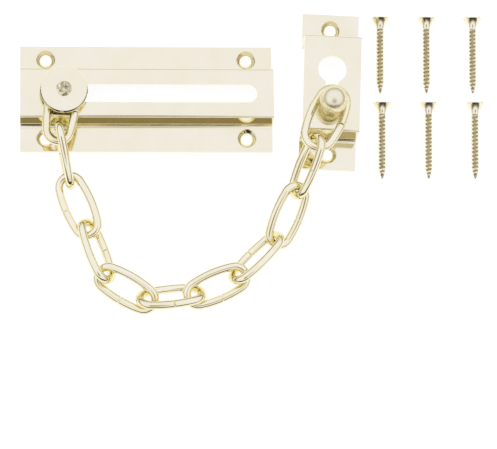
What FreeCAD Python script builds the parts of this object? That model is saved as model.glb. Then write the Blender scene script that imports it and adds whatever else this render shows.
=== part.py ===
import FreeCAD, Part
import math
import os

import Sketcher

# Door chain guard, laid out on its back: a slide plate with a long slot, a slider whose
# stud and disc run in that slot, an oval-link chain, a raised anchor bracket with a
# keyhole for the ball stud on the chain's far end, and six loose wood screws.
# Millimetres and degrees. +Z points out of the plates, +X along the slot towards the
# bracket, +Y up the door. The origin is the middle of the slide plate's back face.

Vector = FreeCAD.Vector

SIZES = [
    ("sheet_thickness", 2.0),
    # slide plate: a hat section, extruded along X
    ("plate_length", 104.0),
    ("plate_width", 44.4),
    ("plate_height", 12.5),
    ("plate_flange", 10.85),
    ("plate_wall_lean", 1.1),
    ("plate_hole_x", 41.5),
    ("plate_hole_y", 16.7),
    ("slot_width", 8.0),
    ("slot_end_x", 41.4),
    ("slot_entry_x", -34.2),
    ("slot_entry_bore", 13.0),
    # anchor bracket: the same kind of section, taller and narrower
    ("bracket_length", 23.4),
    ("bracket_width", 66.0),
    ("bracket_height", 17.0),
    ("bracket_flange", 12.55),
    ("bracket_wall_lean", 0.3),
    ("bracket_hole_y", 26.6),
    ("bracket_turn", -2.6),
    ("keyhole_bore", 11.8),
    ("keyhole_bore_y", 5.9),
    ("keyhole_slot", 5.2),
    ("keyhole_seat_y", -9.5),
    # bends of both sections
    ("outer_bend", 1.0),
    ("inner_bend", 0.6),
    ("foot_cove", 1.2),
    ("edge_break", 0.25),
    # countersunk screw holes
    ("screw_bore", 4.6),
    ("screw_sink", 7.8),
    ("screw_sink_angle", 90.0),
    # slider
    ("slider_head_bore", 11.6),
    ("slider_head_depth", 2.0),
    ("slider_guide", 7.6),
    ("slider_neck", 5.7),
    ("slider_tenon", 4.4),
    ("slider_peen", 6.3),
    ("slider_disc", 19.6),
    ("slider_disc_depth", 2.6),
    ("slider_disc_bevel", 0.45),
    ("slider_gap", 3.9),
    # ball stud
    ("ball_round", 11.6),
    ("ball_centre_z", 27.0),
    ("ball_neck", 7.0),
    ("ball_waist", 4.8),
    ("ball_flange", 11.0),
    ("ball_flange_depth", 1.8),
    ("running_gap", 0.15),
    # chain
    ("wire", 3.5),
    ("link_gap", 0.2),
    ("link_length", 29.4),
    ("link_width", 14.7),
    ("link_end", 4.8),
    ("last_link_length", 29.6),
    ("last_link_width", 17.0),
    ("last_link_end", 5.95),
    ("butt_gap", 0.2),
    ("butt_bevel", 0.2),
    # wood screws
    ("screw_length", 31.8),
    ("screw_head", 7.8),
    ("screw_rim", 0.35),
    ("screw_flare", 4.8),
    ("screw_major", 3.7),
    ("screw_core", 2.6),
    ("screw_pitch", 1.6),
    ("screw_tip", 4.4),
    ("screw_tilt", 4.0),
    ("screw_yaw", -0.8),
    ("recess_width", 1.1),
    ("recess_span", 4.2),
    ("recess_depth", 2.2),
    ("screw_first_x", 97.7),
    ("screw_step_x", 19.4),
    ("screw_upper_y", 34.6),
    ("screw_lower_y", -1.9),
]

# Where each link lies, from the slider to the ball stud: heading in plan, rise, roll
# about its own length (degrees), and the slack left in the hook behind it (mm).
LINK_POSES = [
    (-98, 0, 180, 0.0),
    (-78, -27, 90, 2.9),
    (-67, -3, 12, 0.4),
    (-71, 6, 130, 1.9),
    (-31, 1, 22, 1.5),
    (8, -8, -45, 2.6),
    (23, 2, 13, 2.5),
    (45, -1, 128, 1.9),
    (67, 15, 28, 0.1),
    (67, 24, -55, 0.2),
    (66, 0, 0, 0.7),
]

os.makedirs("parts", exist_ok=True)
doc = FreeCAD.newDocument("door_chain_guard")


# ---------------------------------------------------------------- sheet and sketches

def make_sheet():
    sheet = doc.addObject("Spreadsheet::Sheet", "sizes")
    for row, (alias, number) in enumerate(SIZES, start=1):
        sheet.set(f"A{row}", alias)
        sheet.set(f"B{row}", str(number))
        sheet.setAlias(f"B{row}", alias)
    doc.recompute()
    return sheet


sizes = make_sheet()


def value(expression):
    """The number that an expression in the sheet's aliases stands for."""
    result = sizes.evalExpression(expression)
    return float(getattr(result, "Value", result))


def size(alias):
    return value(f"sizes.{alias}")


def new_body(label):
    body = doc.addObject("PartDesign::Body", label)
    body.Label = label
    return body


def new_sketch(body, name, role, lift=None):
    """A sketch on one of the body's own origin planes, lifted by an expression."""
    sketch = body.newObject("Sketcher::SketchObject", name)
    plane = [f for f in body.Origin.OriginFeatures if f.Role == role][0]
    sketch.AttachmentSupport = [(plane, "")]
    sketch.MapMode = "FlatFace"
    if lift:
        sketch.setExpression(".AttachmentOffset.Base.z", lift)
    return sketch


def pin(sketch, shape, point, across, along):
    """Fix one point of a sketch by two expressions, as distances from the origin."""
    for kind, axis, expression in (("DistanceX", -2, across), ("DistanceY", -1, along)):
        if expression == "0":
            sketch.addConstraint(Sketcher.Constraint("PointOnObject", shape, point, axis))
            continue
        rule = Sketcher.Constraint(kind, -1, 1, shape, point, value(expression))
        index = sketch.addConstraint(rule)
        sketch.setExpression(f"Constraints[{index}]", expression)


def outline(sketch, corners):
    """A closed polygon whose corners are pairs of expressions."""
    points = [Vector(value(across), value(along), 0) for across, along in corners]
    count = len(points)
    for number in range(count):
        end = points[(number + 1) % count]
        sketch.addGeometry(Part.LineSegment(points[number], end))
    for number in range(count):
        following = (number + 1) % count
        sketch.addConstraint(Sketcher.Constraint("Coincident", number, 2, following, 1))
    for number, (across, along) in enumerate(corners):
        pin(sketch, number, 1, across, along)


def circle(sketch, across, along, diameter):
    """A circle with its centre and diameter given by expressions."""
    centre = Vector(value(across), value(along), 0)
    radius = value(diameter) / 2
    shape = sketch.addGeometry(Part.Circle(centre, Vector(0, 0, 1), radius))
    pin(sketch, shape, 3, across, along)
    index = sketch.addConstraint(Sketcher.Constraint("Diameter", shape, 2 * radius))
    sketch.setExpression(f"Constraints[{index}]", diameter)


# ---------------------------------------------------------------- features

def pad_midplane(body, sketch, length):
    pad = body.newObject("PartDesign::Pad", "pad")
    pad.Profile = sketch
    pad.Midplane = True
    pad.setExpression("Length", length)
    sketch.Visibility = False
    doc.recompute()
    return pad


def revolve(body, sketch):
    turned = body.newObject("PartDesign::Revolution", "revolution")
    turned.Profile = sketch
    turned.ReferenceAxis = (sketch, ["V_Axis"])
    turned.Angle = 360
    doc.recompute()
    return turned


def cut_through(body, sketch):
    """Cut a sketch of the back plane right through, and prove that it took metal off."""
    before = body.Shape.Volume
    pocket = body.newObject("PartDesign::Pocket", "pocket")
    pocket.Profile = sketch
    pocket.Type = "ThroughAll"
    pocket.Reversed = True
    doc.recompute()
    if body.Shape.Volume > before - 1:
        raise RuntimeError(f"{body.Label}: the cut of {sketch.Name} removes nothing")
    return pocket


def dress(body, kind, radius, wanted):
    """A fillet or chamfer on the tip's edges that a test picks out."""
    base = body.Tip
    names = []
    for number, edge in enumerate(base.Shape.Edges, start=1):
        if wanted(edge):
            names.append(f"Edge{number}")
    if not names:
        raise RuntimeError(f"{body.Label}: no edge found for a {kind}")
    feature = body.newObject(f"PartDesign::{kind}", kind.lower())
    feature.Base = (base, names)
    feature.setExpression("Radius" if kind == "Fillet" else "Size", radius)
    doc.recompute()
    return feature


def runs_along_x_at(across, height):
    """A test for the straight edges along X at the given Y (either side) and Z."""
    def test(edge):
        ends = [vertex.Point for vertex in edge.Vertexes]
        if len(ends) != 2 or abs(ends[0].x + ends[1].x) > 0.01:
            return False
        return all(abs(abs(p.y) - across) < 0.01 and abs(p.z - height) < 0.01 for p in ends)
    return test


# ---------------------------------------------------------------- the two plates

def hat_section(body, name):
    """Flanges on the wall, leaning webs and a raised face, extruded along X."""
    half = f"sizes.{name}_width / 2"
    foot = f"({half} - sizes.{name}_flange)"
    face = f"({foot} - sizes.{name}_wall_lean)"
    sheet = "sizes.sheet_thickness"
    top = f"sizes.{name}_height"
    inside = f"({top} - {sheet})"
    inner_foot = f"({foot} - {sheet})"
    inner_face = f"({face} - {sheet})"
    right = [
        (half, "0"),
        (half, sheet),
        (foot, sheet),
        (face, top),
    ]
    left = [(f"-({across})", along) for across, along in reversed(right)]
    under = [
        (f"-{inner_foot}", "0"),
        (f"-{inner_face}", inside),
        (inner_face, inside),
        (inner_foot, "0"),
    ]
    section = new_sketch(body, "section", "YZ_Plane")
    outline(section, right + left + under)
    pad_midplane(body, section, f"sizes.{name}_length")
    dress(body, "Fillet", "sizes.outer_bend", runs_along_x_at(value(face), value(top)))
    dress(body, "Fillet", "sizes.foot_cove", runs_along_x_at(value(foot), value(sheet)))
    bends = runs_along_x_at(value(inner_face), value(inside))
    dress(body, "Fillet", "sizes.inner_bend", bends)


def screw_holes(body, places):
    """Countersunk holes through the flanges, sunk from the front."""
    sketch = new_sketch(body, "screw_places", "XY_Plane", "sizes.sheet_thickness")
    for across, along in places:
        circle(sketch, across, along, "sizes.screw_bore")
    doc.recompute()
    hole = body.newObject("PartDesign::Hole", "screw_holes")
    hole.Profile = sketch
    doc.recompute()
    hole.ThreadType = "None"
    hole.DepthType = "ThroughAll"
    hole.setExpression("Diameter", "sizes.screw_bore")
    hole.HoleCutType = "Countersink"
    hole.setExpression("HoleCutDiameter", "sizes.screw_sink")
    hole.setExpression("HoleCutCountersinkAngle", "sizes.screw_sink_angle")
    doc.recompute()
    return hole


def make_slide_plate():
    body = new_body("slide_plate")
    hat_section(body, "plate")
    entry = new_sketch(body, "slot_entry", "XY_Plane")
    circle(entry, "sizes.slot_entry_x", "0", "sizes.slot_entry_bore")
    cut_through(body, entry)
    run = new_sketch(body, "slot_run", "XY_Plane")
    half = "sizes.slot_width / 2"
    outline(run, [
        ("sizes.slot_entry_x", f"-({half})"),
        ("sizes.slot_end_x", f"-({half})"),
        ("sizes.slot_end_x", half),
        ("sizes.slot_entry_x", half),
    ])
    cut_through(body, run)
    end = new_sketch(body, "slot_end", "XY_Plane")
    circle(end, "sizes.slot_end_x", "0", "sizes.slot_width")
    cut_through(body, end)
    places = []
    for sign_x in ("", "-"):
        for sign_y in ("", "-"):
            places.append((f"{sign_x}sizes.plate_hole_x", f"{sign_y}sizes.plate_hole_y"))
    screw_holes(body, places)
    return body


def make_anchor_bracket(stud_x, stud_y):
    """The bracket, turned a little and placed so that its keyhole seat is at the stud."""
    body = new_body("anchor_bracket")
    hat_section(body, "bracket")
    bore = new_sketch(body, "keyhole_bore", "XY_Plane")
    circle(bore, "0", "sizes.keyhole_bore_y", "sizes.keyhole_bore")
    cut_through(body, bore)
    run = new_sketch(body, "keyhole_run", "XY_Plane")
    half = "sizes.keyhole_slot / 2"
    outline(run, [
        (f"-({half})", "sizes.keyhole_seat_y"),
        (half, "sizes.keyhole_seat_y"),
        (half, "sizes.keyhole_bore_y"),
        (f"-({half})", "sizes.keyhole_bore_y"),
    ])
    cut_through(body, run)
    seat = new_sketch(body, "keyhole_seat", "XY_Plane")
    circle(seat, "0", "sizes.keyhole_seat_y", "sizes.keyhole_slot")
    cut_through(body, seat)
    screw_holes(body, [("0", "sizes.bracket_hole_y"), ("0", "-sizes.bracket_hole_y")])
    turn = FreeCAD.Rotation(Vector(0, 0, 1), size("bracket_turn"))
    seat_offset = turn.multVec(Vector(0, size("keyhole_seat_y"), 0))
    place = Vector(stud_x - seat_offset.x, stud_y - seat_offset.y, 0)
    body.Placement = FreeCAD.Placement(place, turn)
    return body


# ---------------------------------------------------------------- slider and ball stud

def turned_piece(label, corners):
    """A piece turned about Z: corners are radius and height expressions."""
    body = new_body(label)
    profile = new_sketch(body, "profile", "XZ_Plane")
    outline(profile, corners)
    revolve(body, profile)
    return body


def make_slider_stud():
    """Head inside the channel, guide in the slot, neck in the link, peened tenon."""
    top = "sizes.plate_height"
    under = f"({top} - sizes.sheet_thickness - sizes.running_gap)"
    disc = f"({top} + sizes.slider_gap)"
    front = f"({disc} + sizes.slider_disc_depth)"
    head = "sizes.slider_head_bore / 2"
    guide = "sizes.slider_guide / 2"
    neck = "sizes.slider_neck / 2"
    tenon = "sizes.slider_tenon / 2"
    peen = "sizes.slider_peen / 2"
    bevel = "sizes.edge_break"
    body = turned_piece("slider_stud", [
        ("0", f"{under} - sizes.slider_head_depth"),
        (f"{head} - {bevel}", f"{under} - sizes.slider_head_depth"),
        (head, f"{under} - sizes.slider_head_depth + {bevel}"),
        (head, under),
        (guide, under),
        (guide, f"{top} - sizes.running_gap"),
        (neck, f"{top} - sizes.running_gap"),
        (neck, disc),
        (tenon, disc),
        (tenon, front),
        (peen, front),
        (f"{peen} - 0.3", f"{front} + 0.35"),
        ("1.6", f"{front} + 0.6"),
        ("0", f"{front} + 0.5"),
    ])
    body.Placement = FreeCAD.Placement(Vector(size("slot_entry_x"), 0, 0), FreeCAD.Rotation())
    return body


def make_slider_disc():
    """The flat front disc, drilled for the stud's tenon."""
    back = "(sizes.plate_height + sizes.slider_gap)"
    front = f"({back} + sizes.slider_disc_depth)"
    rim = "sizes.slider_disc / 2"
    bore = "sizes.slider_tenon / 2"
    bevel = "sizes.slider_disc_bevel"
    body = turned_piece("slider_disc", [
        (bore, back),
        (f"{rim} - {bevel}", back),
        (rim, f"{back} + {bevel}"),
        (rim, f"{front} - {bevel}"),
        (f"{rim} - {bevel}", front),
        (bore, front),
    ])
    body.Placement = FreeCAD.Placement(Vector(size("slot_entry_x"), 0, 0), FreeCAD.Rotation())
    return body


def make_ball_stud(stud_x, stud_y):
    """Flange behind the bracket's face, waist in the keyhole, neck and ball in front."""
    top = "sizes.bracket_height"
    under = f"({top} - sizes.sheet_thickness - sizes.running_gap)"
    shoulder = f"({top} + sizes.running_gap)"
    flange = "sizes.ball_flange / 2"
    waist = "sizes.ball_waist / 2"
    neck = "sizes.ball_neck / 2"
    bevel = "sizes.edge_break"
    body = turned_piece("ball_stud", [
        ("0", f"{under} - sizes.ball_flange_depth"),
        (f"{flange} - {bevel}", f"{under} - sizes.ball_flange_depth"),
        (flange, f"{under} - sizes.ball_flange_depth + {bevel}"),
        (flange, under),
        (waist, under),
        (waist, shoulder),
        (f"{neck} - {bevel}", shoulder),
        (neck, f"{shoulder} + {bevel}"),
        (neck, "sizes.ball_centre_z"),
        ("0", "sizes.ball_centre_z"),
    ])
    ball = body.newObject("PartDesign::AdditiveSphere", "ball")
    ball.setExpression("Radius", "sizes.ball_round / 2")
    ball.setExpression(".AttachmentOffset.Base.z", "sizes.ball_centre_z")
    plane = [f for f in body.Origin.OriginFeatures if f.Role == "XY_Plane"][0]
    ball.AttachmentSupport = [(plane, "")]
    ball.MapMode = "FlatFace"
    doc.recompute()
    body.Placement = FreeCAD.Placement(Vector(stud_x, stud_y, 0), FreeCAD.Rotation())
    return body


# ---------------------------------------------------------------- chain

def arc(centre_x, centre_y, radius, start, end):
    round_line = Part.Circle(Vector(centre_x, centre_y, 0), Vector(0, 0, 1), radius)
    return Part.ArcOfCircle(round_line, math.radians(start), math.radians(end))


def oval_spine(body, half_length, half_width, end_radius):
    """The wire's centre line: two tight end arcs and two bowed sides, cut by the butt gap."""
    end_x = f"({half_length} - {end_radius})"
    side = f"(({end_x} ^ 2 + ({half_width}) ^ 2 - ({end_radius}) ^ 2) / 2"
    side = side + f" / ({half_width} - {end_radius}))"
    side_radius = value(side)
    drop = side_radius - value(half_width)
    reach = value(end_x)
    lean = math.degrees(math.atan2(reach, drop))
    gap_angle = math.degrees(math.asin(value("sizes.butt_gap") / 2 / side_radius))
    small = value(end_radius)
    spine = new_sketch(body, "spine", "XY_Plane")
    spine.addGeometry(arc(0, drop, side_radius, 270 + gap_angle, 270 + lean))
    spine.addGeometry(arc(reach, 0, small, -90 + lean, 90 - lean))
    spine.addGeometry(arc(0, -drop, side_radius, 90 - lean, 90 + lean))
    spine.addGeometry(arc(-reach, 0, small, 90 + lean, 270 - lean))
    spine.addGeometry(arc(0, drop, side_radius, 270 - lean, 270 - gap_angle))
    for number in range(4):
        spine.addConstraint(Sketcher.Constraint("Tangent", number, 2, number + 1, 1))
    for side_arc in (0, 2, 4):
        spine.addConstraint(Sketcher.Constraint("PointOnObject", side_arc, 3, -2))
    spine.addConstraint(Sketcher.Constraint("Equal", 0, 2))
    spine.addConstraint(Sketcher.Constraint("Equal", 2, 4))
    pin(spine, 1, 3, end_x, "0")
    pin(spine, 3, 3, f"-{end_x}", "0")
    radii = ((1, small, end_radius), (2, side_radius, side))
    for number, radius, expression in radii:
        index = spine.addConstraint(Sketcher.Constraint("Radius", number, radius))
        spine.setExpression(f"Constraints[{index}]", expression)
    half_gap = value("sizes.butt_gap") / 2
    for number, point, sign in ((0, 1, 1), (4, 2, -1)):
        rule = Sketcher.Constraint("DistanceX", -1, 1, number, point, sign * half_gap)
        index = spine.addConstraint(rule)
        spine.setExpression(f"Constraints[{index}]", f"{sign} * sizes.butt_gap / 2")
    return spine


def make_link(number, prefix):
    """One link of bent wire, with its two ends butted and lightly bevelled."""
    half_length = f"(sizes.{prefix}_length / 2 - sizes.wire / 2)"
    half_width = f"(sizes.{prefix}_width / 2 - sizes.wire / 2)"
    body = new_body(f"chain_link_{number:02d}")
    spine = oval_spine(body, half_length, half_width, f"sizes.{prefix}_end")
    ring = new_sketch(body, "wire_section", "YZ_Plane", "sizes.butt_gap / 2")
    circle(ring, f"-{half_width}", "0", "sizes.wire")
    doc.recompute()
    pipe = body.newObject("PartDesign::AdditivePipe", "wire")
    pipe.Profile = ring
    pipe.Spine = (spine, [f"Edge{edge}" for edge in range(1, 6)])
    pipe.Mode = "Standard"
    pipe.Transition = "Transformed"
    doc.recompute()

    def butt_edge(edge):
        box = edge.BoundBox
        near_gap = abs(box.XMin) < 1 and abs(box.XMax) < 1
        return near_gap and edge.Length > value("sizes.wire") * 3 and box.YMax < 0

    dress(body, "Chamfer", "sizes.butt_bevel", butt_edge)
    return body


def link_frame(heading, rise, roll):
    """Unit vectors of a link: along it, across its flat side, and out of its plane."""
    heading, rise, roll = (math.radians(angle) for angle in (heading, rise, roll))
    along = Vector(
        math.cos(rise) * math.cos(heading),
        math.cos(rise) * math.sin(heading),
        math.sin(rise),
    )
    level = Vector(-math.sin(heading), math.cos(heading), 0)
    upward = along.cross(level)
    across = level * math.cos(roll) + upward * math.sin(roll)
    return along, across, along.cross(across)


def in_plane(direction, normal):
    """The direction of a vector once it is laid in the plane with this normal."""
    return (direction - normal * direction.dot(normal)).normalize()


def link_prefix(number):
    return "last_link" if number == len(LINK_POSES) else "link"


def lay_chain():
    """Hook each link to the one before it, and return each link's frame and middle."""
    laid = []
    wire = size("wire")
    previous = None
    for number, (heading, rise, roll, slack) in enumerate(LINK_POSES, start=1):
        along, across, normal = link_frame(heading, rise, roll)
        end_radius = size(f"{link_prefix(number)}_end")
        half_length = (size(f"{link_prefix(number)}_length") - wire) / 2
        reach = half_length - end_radius
        if previous is None:
            bed = size("plate_height") + size("slider_gap") / 2
            pivot = Vector(size("slot_entry_x"), 0, bed)
            pull = end_radius - wire / 2 - size("slider_neck") / 2 - size("running_gap")
            start = pivot + along * pull
        else:
            pull_along = (previous["along"] + along).normalize()
            outward = in_plane(pull_along, previous["normal"]) * previous["end_radius"]
            inward = in_plane(pull_along, normal) * end_radius
            hook = pull_along * (wire + size("link_gap") + slack)
            start = previous["finish"] + outward - hook + inward
        finish = start + along * (2 * reach)
        previous = {
            "along": along,
            "across": across,
            "normal": normal,
            "end_radius": end_radius,
            "start": start,
            "finish": finish,
            "middle": (start + finish) / 2,
        }
        laid.append(previous)
    return laid


def place_link(body, link):
    axes = (link["along"], link["across"], link["normal"])
    rows = [[axis.x for axis in axes], [axis.y for axis in axes], [axis.z for axis in axes]]
    middle = link["middle"]
    matrix = FreeCAD.Matrix(
        *rows[0], middle.x,
        *rows[1], middle.y,
        *rows[2], middle.z,
        0, 0, 0, 1,
    )
    body.Placement = FreeCAD.Placement(matrix)


# ---------------------------------------------------------------- screws

def make_screw(label):
    """A flat-head wood screw along +Z from its tip: flared head, ridged shank, cross recess."""
    core = "sizes.screw_core / 2"
    major = "sizes.screw_major / 2"
    head = "sizes.screw_head / 2"
    length = "sizes.screw_length"
    rim = f"({length} - sizes.screw_rim)"
    flare = f"({length} - sizes.screw_flare)"
    corners = [("0", "0"), (f"{core} * 0.25", "0.2"), (core, "sizes.screw_tip")]
    shank = value(flare) - value("sizes.screw_tip")
    turns = int(shank / value("sizes.screw_pitch"))
    for turn in range(turns):
        root = f"sizes.screw_tip + {turn} * sizes.screw_pitch"
        corners.append((core, f"{root} + 0.5 * sizes.screw_pitch"))
        corners.append((major, f"{root} + 0.72 * sizes.screw_pitch"))
        corners.append((core, f"{root} + 0.94 * sizes.screw_pitch"))
    corners += [
        (core, flare),
        (f"{core} * 1.25", f"{flare} + 0.45 * sizes.screw_flare"),
        (f"{head} * 0.62", f"{flare} + 0.72 * sizes.screw_flare"),
        (head, rim),
        (head, length),
        ("0", length),
    ]
    body = turned_piece(label, corners)
    recess = new_sketch(body, "recess", "XY_Plane", length)
    wide = "sizes.recess_span / 2"
    thin = "sizes.recess_width / 2"
    outline(recess, [
        (wide, thin), (thin, thin), (thin, wide), (f"-{thin}", wide),
        (f"-{thin}", thin), (f"-{wide}", thin), (f"-{wide}", f"-{thin}"), (f"-{thin}", f"-{thin}"),
        (f"-{thin}", f"-{wide}"), (thin, f"-{wide}"), (thin, f"-{thin}"), (wide, f"-{thin}"),
    ])
    before = body.Shape.Volume
    pocket = body.newObject("PartDesign::Pocket", "cross_recess")
    pocket.Profile = recess
    pocket.setExpression("Length", "sizes.recess_depth")
    doc.recompute()
    if body.Shape.Volume > before - 1:
        raise RuntimeError(f"{label}: the recess cuts nothing")
    return body


def lay_screw(body, column, head_y):
    """Lay a screw on the table, head away from the door's foot, resting on rim and thread."""
    lean = FreeCAD.Rotation(Vector(1, 0, 0), -90 + size("screw_tilt"))
    head_radius = size("screw_head") / 2
    tilt = math.radians(size("screw_tilt"))
    length = size("screw_length")
    tip_z = head_radius * math.cos(tilt) - length * math.sin(tilt) + 0.02
    x = size("screw_first_x") + column * size("screw_step_x")
    yaw = FreeCAD.Rotation(Vector(0, 0, 1), size("screw_yaw"))
    place = Vector(x, head_y, 0) - yaw.multVec(Vector(0, length * math.cos(tilt), -tip_z))
    body.Placement = FreeCAD.Placement(place, yaw.multiply(lean))


# ---------------------------------------------------------------- the set

pieces = [make_slide_plate(), make_slider_stud(), make_slider_disc()]

chain = lay_chain()
for link_number, laid_link in enumerate(chain, start=1):
    link_body = make_link(link_number, link_prefix(link_number))
    place_link(link_body, laid_link)
    pieces.append(link_body)

last = chain[-1]
seat_pull = last["end_radius"] - size("wire") / 2 - size("ball_neck") / 2 - size("running_gap")
stud_place = last["finish"] - last["along"] * seat_pull
pieces.append(make_ball_stud(stud_place.x, stud_place.y))
pieces.append(make_anchor_bracket(stud_place.x, stud_place.y))

for screw_number in range(6):
    screw = make_screw(f"wood_screw_{screw_number + 1}")
    row_alias = "screw_upper_y" if screw_number < 3 else "screw_lower_y"
    lay_screw(screw, screw_number % 3, size(row_alias))
    pieces.append(screw)

doc.recompute()

for item in doc.Objects:
    if "Invalid" in item.State or "Error" in item.State:
        raise RuntimeError(f"{item.Label} failed: {item.State}")
for piece in pieces:
    if piece.Shape.isNull() or not piece.Shape.isValid():
        raise RuntimeError(f"{piece.Label} has no valid shape")
    piece.Shape.exportStep(os.path.join("parts", f"{piece.Label}.step"))
    print(piece.Label, round(piece.Shape.Volume, 1), "mm3")
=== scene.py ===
import math

import bpy
from mathutils import Matrix, Vector, noise


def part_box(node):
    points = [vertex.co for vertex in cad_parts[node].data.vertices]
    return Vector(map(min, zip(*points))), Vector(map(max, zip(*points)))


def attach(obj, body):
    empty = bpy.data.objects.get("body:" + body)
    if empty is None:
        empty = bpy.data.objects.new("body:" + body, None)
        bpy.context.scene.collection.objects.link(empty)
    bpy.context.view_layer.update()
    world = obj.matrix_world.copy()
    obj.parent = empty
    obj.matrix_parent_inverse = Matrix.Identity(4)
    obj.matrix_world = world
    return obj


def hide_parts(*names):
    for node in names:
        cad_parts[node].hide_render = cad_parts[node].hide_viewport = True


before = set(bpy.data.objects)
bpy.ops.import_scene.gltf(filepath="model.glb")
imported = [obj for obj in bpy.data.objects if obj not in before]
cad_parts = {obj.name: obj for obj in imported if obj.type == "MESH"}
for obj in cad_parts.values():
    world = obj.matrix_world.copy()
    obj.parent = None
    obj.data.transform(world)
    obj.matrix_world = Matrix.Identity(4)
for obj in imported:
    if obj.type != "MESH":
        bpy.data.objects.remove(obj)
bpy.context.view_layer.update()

# Door chain guard in pale polished brass: slide plate, slider, chain, anchor bracket with
# its ball stud, and six wood screws. The frame holds every size and place; this script
# gives the pieces their finish and builds what the frame only stands in for: the screws'
# helical threads and the hammered end of the slider's stud. Lengths are in metres, and
# MM turns a length in millimetres into them.

MM = 0.001

# The screws, as the frame has them
SCREW_LENGTH = 31.8 * MM
SCREW_TILT = math.radians(4)
SCREW_YAW = math.radians(-0.8)
HEAD_RADIUS = 3.9 * MM
HEAD_RIM = 0.35 * MM
FLARE_LENGTH = 4.8 * MM
FLARE_FOOT = 1.5 * MM
CORE_RADIUS = 1.3 * MM
THREAD_HEIGHT = 0.55 * MM
THREAD_PITCH = 1.6 * MM
RIDGE_HALF_WIDTH = 0.33  # of a thread's ridge, as a share of the pitch
TIP_LENGTH = 4.4 * MM
TIP_SHARE = 0.12  # core radius at the very tip, as a share of the full one
TIP_CURVE = 0.8
FLARE_CURVE = 1.8
HEAD_EDGE = 0.08 * MM
# Where the head sits on the scale of painted root shade, from 0 (fully shaded) to 1 (unshaded)
HEAD_OUT_OF_SHADE = 0.45
SHANK_END = SCREW_LENGTH - FLARE_LENGTH
SCREW_COLUMNS = 48
SHANK_STEPS = 330
FLARE_STEPS = 26
RECESS_HALF_WIDTH = 0.55 * MM
RECESS_HALF_SPAN = 2.1 * MM
RECESS_DEPTH = 2.2 * MM
RECESS_FOOT = 0.45  # size of the recess at its foot, as a share of its mouth
CUTTER_PROUD = 0.1 * MM
SCREW_SPINS = (10, 75, 200, 310, 130, 250)

# The slider's stud, as the frame has it
STUD_NECK_RADIUS = 2.85 * MM
STUD_TENON_RADIUS = 2.2 * MM
STUD_GUIDE_RADIUS = 3.8 * MM
STUD_PEEN_RADIUS = 3.15 * MM
STUD_HEAD_DEPTH = 2.0 * MM
STUD_BEVEL = 0.25 * MM
STUD_GAP = 0.15 * MM
STUD_COLUMNS = 96
PEEN_RINGS = 26
PEEN_RIM = 0.08 * MM
PEEN_SHOULDER = 0.16 * MM
PEEN_BASE = 0.12 * MM

AIM = Vector((41.7, -52.6, 0)) * MM
CAMERA_LEFT = math.radians(4)
CAMERA_HEIGHT = math.radians(78)
CAMERA_DISTANCE = 1300 * MM
FIELD_WIDTH = 204.5 * MM
SENSOR_WIDTH = 36
CLIP_START = 0.05

# The floor and the one soft light over it
FLOOR_HALF_WIDTH = 1.6
FLOOR_DROP = 0.05 * MM
FLOOR_GLOW = 0.92
LIGHT_OFFSET = Vector((-0.3, 0.3, 2.4))
LIGHT_WIDTH = 2.4
LIGHT_POWER = 30

# The tent's dark openings in front: one high up, for the lens, and one low down
LENS_ELEVATION = 62
LENS_SPREAD = (math.cos(math.radians(23)), math.cos(math.radians(4)))
LENS_DARKNESS = 0.78
LOW_GAP_SPREAD = (0.62, 0.86)
LOW_GAP_HEIGHT = (0.50, 0.30)

# Daylight colour of the tent, over one so that gold metal reads as pale cream where flat
SKY_TINT = (1.0, 1.01, 1.32)


# ---------------------------------------------------------------- material nodes

class Nodes:
    """A short way to add and join nodes in one tree."""

    def __init__(self, tree):
        self.tree = tree
        tree.nodes.clear()

    def add(self, kind, inputs=None, **settings):
        made = self.tree.nodes.new(kind)
        for name, setting in settings.items():
            setattr(made, name, setting)
        for name, source in (inputs or {}).items():
            if isinstance(source, bpy.types.NodeSocket):
                self.tree.links.new(source, made.inputs[name])
            else:
                made.inputs[name].default_value = source
        return made

    def maths(self, operation, first, second=0.0):
        made = self.add("ShaderNodeMath", {0: first, 1: second}, operation=operation)
        return made.outputs[0]

    def noise(self, where, scale, detail=3.0, roughness=0.5):
        values = {"Vector": where, "Scale": scale, "Detail": detail, "Roughness": roughness}
        return self.add("ShaderNodeTexNoise", values).outputs["Fac"]

    def ramp(self, factor, *stops):
        """A colour ramp whose stops are (place, colour)."""
        made = self.add("ShaderNodeValToRGB", {"Fac": factor})
        points = made.color_ramp.elements
        while len(points) < len(stops):
            points.new(0.5)
        for point, (place, colour) in zip(points, stops):
            point.position = place
            point.color = (*colour, 1)
        return made.outputs["Color"]

    def remap(self, factor, low, high, to_low, to_high):
        values = {"Value": factor, "From Min": low, "From Max": high,
                  "To Min": to_low, "To Max": to_high}
        return self.add("ShaderNodeMapRange", values).outputs["Result"]

    def bump(self, height, distance, strength, normal=None):
        values = {"Height": height, "Distance": distance, "Strength": strength}
        if normal:
            values["Normal"] = normal
        return self.add("ShaderNodeBump", values).outputs["Normal"]


def new_material(name):
    material = bpy.data.materials.new(name)
    material.use_nodes = True
    return material, Nodes(material.node_tree)


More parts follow.
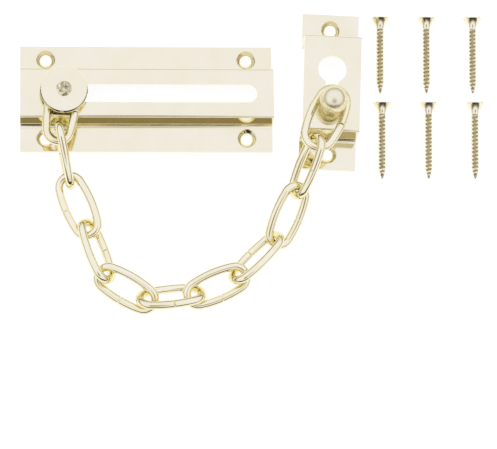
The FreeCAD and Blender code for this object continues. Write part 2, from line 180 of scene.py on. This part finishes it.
def brass(name, light, deep, smooth, rough, ripple, grain=None, rings=None, mottle=95):
    """Plated brass: a drifting tone, patchy gloss, faint ripples, specks and hairlines.

    grain is a stretch in X, Y, Z for rolled or drawn lines, rings is the centre of the
    turning marks on a piece made on a lathe, and mottle is how fine the tone drifts.
    """
    material, nodes = new_material(name)
    where = nodes.add("ShaderNodeTexCoord").outputs["Object"]
    drift = nodes.noise(where, mottle, 3, 0.55)
    tone = nodes.ramp(drift, (0.32, deep), (0.62, light))
    smear = nodes.noise(where, 420, 4, 0.62)
    gloss = nodes.remap(smear, 0.35, 0.7, smooth, rough)
    specks = nodes.noise(where, 2100, 2, 0.5)
    speck_mask = nodes.remap(specks, 0.69, 0.75, 0, 1)
    gloss = nodes.maths("ADD", gloss, nodes.maths("MULTIPLY", speck_mask, 0.12))
    normal = nodes.bump(nodes.noise(where, 70, 2, 0.4), 1.2 * MM, ripple)
    normal = nodes.bump(nodes.noise(where, 1500, 3, 0.6), 0.05 * MM, 0.10, normal)
    if grain:
        stretched = nodes.add("ShaderNodeMapping", {"Vector": where, "Scale": grain})
        lines = nodes.noise(stretched.outputs["Vector"], 900, 3, 0.6)
        normal = nodes.bump(lines, 0.03 * MM, 0.14, normal)
    if rings:
        centred = nodes.add("ShaderNodeMapping", {"Vector": where, "Location": -rings})
        turned = nodes.add(
            "ShaderNodeTexWave",
            {"Vector": centred.outputs["Vector"], "Scale": 900, "Distortion": 0.6, "Detail": 1},
            wave_type="RINGS", rings_direction="Z",
        )
        normal = nodes.bump(turned.outputs["Fac"], 0.02 * MM, 0.16, normal)
    shader = nodes.add(
        "ShaderNodeBsdfPrincipled",
        {"Base Color": tone, "Metallic": 1.0, "Roughness": gloss, "Normal": normal},
    )
    nodes.add("ShaderNodeOutputMaterial", {"Surface": shader.outputs[0]})
    return material


def plating(name, root, crest, smooth, rough):
    """Yellow plating on a rolled screw, with painted shade: dark brown in the thread roots, the
    plating's own pale colour on the crests, and random uneven patches.
    """
    material, nodes = new_material(name)
    where = nodes.add("ShaderNodeTexCoord").outputs["Object"]
    # Painted shade: the point attribute read here is 0 in the thread roots, where it darkens the plating
    # to the root colour, and 1 on the crests
    out_of_root_shade = nodes.add("ShaderNodeAttribute", attribute_name="out_of_root_shade").outputs["Fac"]
    patches = nodes.noise(where, 700, 4, 0.65)
    uneven = nodes.maths("MULTIPLY", nodes.maths("SUBTRACT", patches, 0.5), 0.5)
    tone = nodes.ramp(nodes.maths("ADD", out_of_root_shade, uneven), (0.0, root), (0.45, crest))
    gloss = nodes.remap(patches, 0.35, 0.7, smooth, rough)
    normal = nodes.bump(nodes.noise(where, 2600, 3, 0.6), 0.05 * MM, 0.12)
    shader = nodes.add(
        "ShaderNodeBsdfPrincipled",
        {"Base Color": tone, "Metallic": 1.0, "Roughness": gloss, "Normal": normal},
    )
    nodes.add("ShaderNodeOutputMaterial", {"Surface": shader.outputs[0]})
    return material


def paint(item, material):
    """Give a piece or a CAD node one material."""
    item.data.materials.clear()
    item.data.materials.append(material)


# ---------------------------------------------------------------- meshes

def new_piece(name, mesh):
    piece = bpy.data.objects.new(name, mesh)
    bpy.context.scene.collection.objects.link(piece)
    return piece


def grid_mesh(name, rows, start, end):
    """A closed skin over rings of points, with one point at each end."""
    columns = len(rows[0])
    points = [start] + [point for row in rows for point in row] + [end]
    faces = []
    last = len(points) - 1
    for column in range(columns):
        following = (column + 1) % columns
        faces.append((0, 1 + following, 1 + column))
        for row in range(len(rows) - 1):
            low = 1 + row * columns
            high = low + columns
            faces.append((low + column, low + following, high + following, high + column))
        top = 1 + (len(rows) - 1) * columns
        faces.append((top + column, top + following, last))
    mesh = bpy.data.meshes.new(name)
    mesh.from_pydata(points, [], faces)
    mesh.update()
    return mesh


def lathe_ring(radius, height, columns):
    turns = (math.tau * column / columns for column in range(columns))
    return [(radius * math.cos(turn), radius * math.sin(turn), height) for turn in turns]


def shade(mesh, angle):
    """Smooth shading, with edges sharper than the angle kept."""
    mesh.polygons.foreach_set("use_smooth", [True] * len(mesh.polygons))
    mesh.set_sharp_from_angle(angle=angle)


# ---------------------------------------------------------------- wood screws

def core_radius(height):
    """Radius of the shank without its thread, at a height above the tip."""
    reach = min(height / TIP_LENGTH, 1)
    return CORE_RADIUS * (TIP_SHARE + (1 - TIP_SHARE) * reach ** TIP_CURVE)


def thread_radius(height, turn):
    """Radius of the threaded shank at a height above the tip and a turn round the axis."""
    start = min(1, height / (0.7 * TIP_LENGTH))
    fade = start * min(1, max(0, (SHANK_END - height) / THREAD_PITCH))
    phase = (height / THREAD_PITCH - turn / math.tau) % 1
    ridge = max(0, 1 - abs(phase - 0.5) / RIDGE_HALF_WIDTH)
    return core_radius(height) + THREAD_HEIGHT * fade * ridge


def screw_mesh():
    """A flat-head wood screw along +Z from its tip, its head left whole for the cross recess that
    make_screws cuts.
    """
    rows = []
    for step in range(1, SHANK_STEPS + 1):
        height = SHANK_END * step / SHANK_STEPS
        row = []
        for column in range(SCREW_COLUMNS):
            turn = math.tau * column / SCREW_COLUMNS
            radius = thread_radius(height, turn)
            row.append((radius * math.cos(turn), radius * math.sin(turn), height))
        rows.append(row)
    for step in range(1, FLARE_STEPS + 1):
        part = step / FLARE_STEPS
        radius = FLARE_FOOT + (HEAD_RADIUS - FLARE_FOOT) * part ** FLARE_CURVE
        height = SHANK_END + (FLARE_LENGTH - HEAD_RIM) * part
        rows.append(lathe_ring(radius, height, SCREW_COLUMNS))
    rows.append(lathe_ring(HEAD_RADIUS, SCREW_LENGTH - HEAD_EDGE, SCREW_COLUMNS))
    rows.append(lathe_ring(HEAD_RADIUS - HEAD_EDGE, SCREW_LENGTH, SCREW_COLUMNS))
    for part in (0.8, 0.55, 0.3):
        rows.append(lathe_ring(HEAD_RADIUS * part, SCREW_LENGTH, SCREW_COLUMNS))
    return grid_mesh("wood_screw", rows, (0, 0, 0), (0, 0, SCREW_LENGTH))


def cross_cutter():
    """A tapered cross, a little proud of the head, that the recess is cut with."""
    half_width, half_span = RECESS_HALF_WIDTH, RECESS_HALF_SPAN
    outline = [
        (half_span, half_width), (half_width, half_width), (half_width, half_span),
        (-half_width, half_span), (-half_width, half_width), (-half_span, half_width),
        (-half_span, -half_width), (-half_width, -half_width), (-half_width, -half_span),
        (half_width, -half_span), (half_width, -half_width), (half_span, -half_width),
    ]
    foot, mouth = SCREW_LENGTH - RECESS_DEPTH, SCREW_LENGTH + CUTTER_PROUD
    levels = ((RECESS_FOOT, foot), (1.0, mouth))
    mesh = bpy.data.meshes.new("cross_cutter")
    count = len(outline)
    points = [(x * part, y * part, height) for part, height in levels for x, y in outline]
    faces = [tuple(reversed(range(count))), tuple(range(count, 2 * count))]
    for corner in range(count):
        following = (corner + 1) % count
        faces.append((corner, following, count + following, count + corner))
    mesh.from_pydata(points, [], faces)
    mesh.update()
    return mesh


def cut(body_mesh, cutter_mesh):
    """The mesh of a body with a cutter taken out of it."""
    body = new_piece("cut_body", body_mesh)
    cutter = new_piece("cutter", cutter_mesh)
    rule = body.modifiers.new("cut", "BOOLEAN")
    rule.operation = "DIFFERENCE"
    rule.solver = "EXACT"
    rule.object = cutter
    bpy.context.view_layer.update()
    graph = bpy.context.evaluated_depsgraph_get()
    result = bpy.data.meshes.new_from_object(body.evaluated_get(graph))
    bpy.data.objects.remove(body)
    bpy.data.objects.remove(cutter)
    return result


def mark_root_shade(mesh):
    """How far each point stands out of the painted shade in the thread roots: 0 in a thread's root, 1 on
    its crest, between on the head.
    """
    out_of_root_shade = mesh.attributes.new("out_of_root_shade", "FLOAT", "POINT")
    for vertex in mesh.vertices:
        x, y, height = vertex.co
        out = (math.hypot(x, y) - core_radius(height)) / THREAD_HEIGHT
        if height > SHANK_END:
            out = HEAD_OUT_OF_SHADE
        out_of_root_shade.data[vertex.index].value = min(1, max(0, out))


def make_screws(material):
    master = cut(screw_mesh(), cross_cutter())
    mark_root_shade(master)
    shade(master, math.radians(35))
    master.materials.clear()
    master.materials.append(material)
    for number, spin in enumerate(SCREW_SPINS, start=1):
        node = f"wood_screw_{number}"
        points = [vertex.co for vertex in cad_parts[node].data.vertices]
        tip = min(points, key=lambda point: point.y)
        place = Matrix.Translation(tip)
        place = place @ Matrix.Rotation(SCREW_YAW, 4, "Z")
        place = place @ Matrix.Rotation(SCREW_TILT - math.pi / 2, 4, "X")
        place = place @ Matrix.Rotation(math.radians(spin), 4, "Z")
        mesh = master.copy()
        mesh.transform(place)
        piece = new_piece(f"threaded_screw_{number}", mesh)
        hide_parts(node)
        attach(piece, f"screw_{number}")


# ---------------------------------------------------------------- slider's stud

def peen_height(radius, turn):
    """Height of the hammered end over its rim: a low dome, three ridges, pits and marks."""
    out = radius / STUD_PEEN_RADIUS
    dome = 0.30 * (1 - out ** 3)
    ridge = abs(math.cos(1.5 * (turn - 0.6))) ** 7
    ridges = 0.34 * ridge * min(1, out * 3) * max(0, 1 - out) ** 0.4
    spot = Vector((radius * math.cos(turn), radius * math.sin(turn), 0)) / MM
    marks = 0.30 * noise.noise(spot * 1.1) + 0.16 * noise.noise(spot * 2.7)
    hollow = -0.22 * math.exp(-((out - 0.05) / 0.25) ** 2)
    return (dome + ridges + marks * (1 - out ** 4) + hollow) * MM


def make_slider_stud(material):
    low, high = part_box("slider_stud")
    disc_low, disc_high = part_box("slider_disc")
    plate_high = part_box("slide_plate")[1].z
    centre = (disc_low + disc_high) / 2
    head_radius = (high.x - low.x) / 2
    head_top = low.z + STUD_HEAD_DEPTH
    guide_top = plate_high - STUD_GAP
    profile = [
        (0.5 * head_radius, low.z), (head_radius - STUD_BEVEL, low.z),
        (head_radius, low.z + STUD_BEVEL),
        (head_radius, head_top), (STUD_GUIDE_RADIUS, head_top),
        (STUD_GUIDE_RADIUS, guide_top), (STUD_NECK_RADIUS, guide_top),
        (STUD_NECK_RADIUS, disc_low.z), (STUD_TENON_RADIUS, disc_low.z),
        (STUD_TENON_RADIUS, disc_high.z), (STUD_PEEN_RADIUS, disc_high.z),
        (STUD_PEEN_RADIUS, disc_high.z + PEEN_RIM),
    ]
    rows = [lathe_ring(radius, height, STUD_COLUMNS) for radius, height in profile]
    room = high.z - disc_high.z
    for ring in range(1, PEEN_RINGS):
        radius = STUD_PEEN_RADIUS * (1 - ring / PEEN_RINGS)
        row = []
        for column in range(STUD_COLUMNS):
            turn = math.tau * column / STUD_COLUMNS
            rise = PEEN_SHOULDER
            if ring > 1:
                rise = min(room, PEEN_BASE + max(0, peen_height(radius, turn)))
            row.append((radius * math.cos(turn), radius * math.sin(turn), disc_high.z + rise))
        rows.append(row)
    top = disc_high.z + min(room, PEEN_BASE + max(0, peen_height(0, 0)))
    mesh = grid_mesh("hammered_stud", rows, (0, 0, low.z), (0, 0, top))
    mesh.transform(Matrix.Translation((centre.x, centre.y, 0)))
    shade(mesh, math.radians(32))
    piece = new_piece("hammered_slider_stud", mesh)
    paint(piece, material)
    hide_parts("slider_stud")
    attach(piece, "slider")


# ---------------------------------------------------------------- CAD nodes

def break_edges(node, width):
    """A fine break along a stamped or turned piece's sharp edges, by modifiers only."""
    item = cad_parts[node]
    weld = item.modifiers.new("weld", "WELD")
    weld.merge_threshold = 0.0005 * MM
    bevel = item.modifiers.new("edge_break", "BEVEL")
    bevel.width = width
    bevel.segments = 3
    bevel.limit_method = "ANGLE"
    bevel.angle_limit = math.radians(38)
    bevel.harden_normals = True


# ---------------------------------------------------------------- setting

def make_floor():
    """A plain pale table lit from within, so that shadows on it stay faint."""
    material, nodes = new_material("pale_floor")
    where = nodes.add("ShaderNodeTexCoord").outputs["Object"]
    tone = nodes.ramp(nodes.noise(where, 6, 2), (0.3, (0.985, 0.985, 0.98)), (0.7, (1.0, 1.0, 0.995)))
    glow = nodes.add("ShaderNodeEmission", {"Color": tone, "Strength": FLOOR_GLOW})
    shader = nodes.add("ShaderNodeBsdfDiffuse", {"Color": (0.12, 0.12, 0.12, 1)})
    both = nodes.add("ShaderNodeAddShader", {0: glow.outputs[0], 1: shader.outputs[0]})
    nodes.add("ShaderNodeOutputMaterial", {"Surface": both.outputs[0]})
    half = FLOOR_HALF_WIDTH
    mesh = bpy.data.meshes.new("floor")
    corners = [(-half, -half, 0), (half, -half, 0), (half, half, 0), (-half, half, 0)]
    mesh.from_pydata(corners, [], [(0, 1, 2, 3)])
    floor = new_piece("floor", mesh)
    floor.location.z = -FLOOR_DROP
    paint(floor, material)


def toward(azimuth, elevation):
    """A unit direction: azimuth is measured from -Y towards +X, both in degrees."""
    turn, rise = math.radians(azimuth), math.radians(elevation)
    return (math.sin(turn) * math.cos(rise), -math.cos(turn) * math.cos(rise), math.sin(rise))


def make_sky():
    """A light tent: bright all over, warm near the floor, with two dark openings in front.

    One opening is low down, where the tent is entered, and the other is high up. Both give
    the polished metal its brown lines.
    """
    world = bpy.data.worlds.new("studio")
    world.use_nodes = True
    bpy.context.scene.world = world
    nodes = Nodes(world.node_tree)
    direction = nodes.add("ShaderNodeTexCoord").outputs["Generated"]
    height = nodes.add("ShaderNodeSeparateXYZ", {"Vector": direction}).outputs["Z"]
    tent = nodes.ramp(
        height,
        (0.0, (0.16, 0.13, 0.045)),
        (0.13, (0.30, 0.26, 0.12)),
        (0.27, (0.84, 0.83, 0.80)),
        (0.55, (0.98, 1.00, 1.0)),
        (1.0, (0.99, 1.00, 1.0)),
    )
    front = nodes.add(
        "ShaderNodeVectorMath", {0: direction, 1: toward(0, 0)}, operation="DOT_PRODUCT"
    ).outputs["Value"]
    low_gap = nodes.maths(
        "MULTIPLY",
        nodes.remap(front, *LOW_GAP_SPREAD, 0, 1),
        nodes.remap(height, *LOW_GAP_HEIGHT, 0, 1),
    )
    lens = nodes.add(
        "ShaderNodeVectorMath", {0: direction, 1: toward(0, LENS_ELEVATION)},
        operation="DOT_PRODUCT",
    ).outputs["Value"]
    lens_gap = nodes.remap(lens, *LENS_SPREAD, 0, LENS_DARKNESS)
    gap = nodes.maths("MAXIMUM", low_gap, lens_gap)
    dark = nodes.ramp(
        gap,
        (0.0, (1, 1, 1)),
        (0.62, (0.50, 0.42, 0.22)),
        (1.0, (0.05, 0.034, 0.010)),
    )
    colour = nodes.add(
        "ShaderNodeMix",
        {"Factor": 1.0, 6: tent, 7: dark},
        data_type="RGBA", blend_type="MULTIPLY",
    ).outputs[2]
    cooled = nodes.add(
        "ShaderNodeMix",
        {"Factor": 1.0, 6: colour, 7: (*SKY_TINT, 1)},
        data_type="RGBA", blend_type="MULTIPLY",
    ).outputs[2]
    sky = nodes.add("ShaderNodeBackground", {"Color": cooled, "Strength": 1.0})
    nodes.add("ShaderNodeOutputWorld", {"Surface": sky.outputs[0]})


def make_light():
    """One wide soft lamp overhead. The metal doesn't mirror it: the tent does that work."""
    data = bpy.data.lights.new("floor_key", "AREA")
    data.shape = "RECTANGLE"
    data.size = data.size_y = LIGHT_WIDTH
    data.energy = LIGHT_POWER
    lamp = bpy.data.objects.new("floor_key", data)
    bpy.context.scene.collection.objects.link(lamp)
    lamp.location = AIM + LIGHT_OFFSET
    lamp.rotation_euler = (-LIGHT_OFFSET).to_track_quat("-Z", "Y").to_euler()
    lamp.visible_glossy = False


def make_camera():
    outward = Vector((-math.sin(CAMERA_LEFT), -math.cos(CAMERA_HEIGHT), math.sin(CAMERA_HEIGHT)))
    outward.normalize()
    right = Vector((1, 0, 0)) - outward * outward.x
    right.normalize()
    up = outward.cross(right)
    data = bpy.data.cameras.new("camera")
    data.sensor_width = SENSOR_WIDTH
    data.lens = SENSOR_WIDTH * CAMERA_DISTANCE / FIELD_WIDTH
    data.clip_start = CLIP_START
    camera = bpy.data.objects.new("camera", data)
    bpy.context.scene.collection.objects.link(camera)
    place = AIM + outward * CAMERA_DISTANCE
    camera.matrix_world = Matrix((
        (right.x, up.x, outward.x, place.x),
        (right.y, up.y, outward.y, place.y),
        (right.z, up.z, outward.z, place.z),
        (0, 0, 0, 1),
    ))
    bpy.context.scene.camera = camera


# ---------------------------------------------------------------- the scene

make_camera()
make_sky()
make_light()
make_floor()
bpy.context.scene.view_settings.view_transform = "Standard"

PALE = (0.895, 0.830, 0.560)
PALE_DEEP = (0.880, 0.808, 0.520)
disc_low, disc_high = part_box("slider_disc")
stud_low, stud_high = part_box("ball_stud")

plate_finish = brass("plate_brass", PALE, PALE_DEEP, 0.05, 0.11, 0.05, grain=(0.06, 1, 1))
bracket_finish = brass("bracket_brass", PALE, PALE_DEEP, 0.05, 0.10, 0.05, grain=(1, 0.06, 1))
chain_finish = brass("chain_wire", (0.92, 0.855, 0.57), (0.885, 0.805, 0.48), 0.04, 0.11, 0.12)
disc_finish = brass("disc_brass", PALE, PALE_DEEP, 0.08, 0.15, 0.03, rings=(disc_low + disc_high) / 2)
ball_finish = brass("ball_brass", PALE, PALE_DEEP, 0.27, 0.36, 0.10, rings=(stud_low + stud_high) / 2)
peen_finish = brass("peened_brass", (0.90, 0.81, 0.50), (0.20, 0.14, 0.04), 0.12, 0.26, 0.30, mottle=620)
# The first colour is painted shade for the thread roots; the second is the plating's own colour on the
# crests
screw_finish = plating("screw_plating", (0.36, 0.29, 0.13), (0.95, 0.89, 0.64), 0.13, 0.24)

paint(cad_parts["slide_plate"], plate_finish)
paint(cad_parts["anchor_bracket"], bracket_finish)
paint(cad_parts["slider_disc"], disc_finish)
paint(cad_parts["ball_stud"], ball_finish)
for name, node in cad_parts.items():
    if name.startswith("chain_link"):
        paint(node, chain_finish)
break_edges("slide_plate", 0.2 * MM)
break_edges("anchor_bracket", 0.2 * MM)
make_screws(screw_finish)
make_slider_stud(peen_finish)
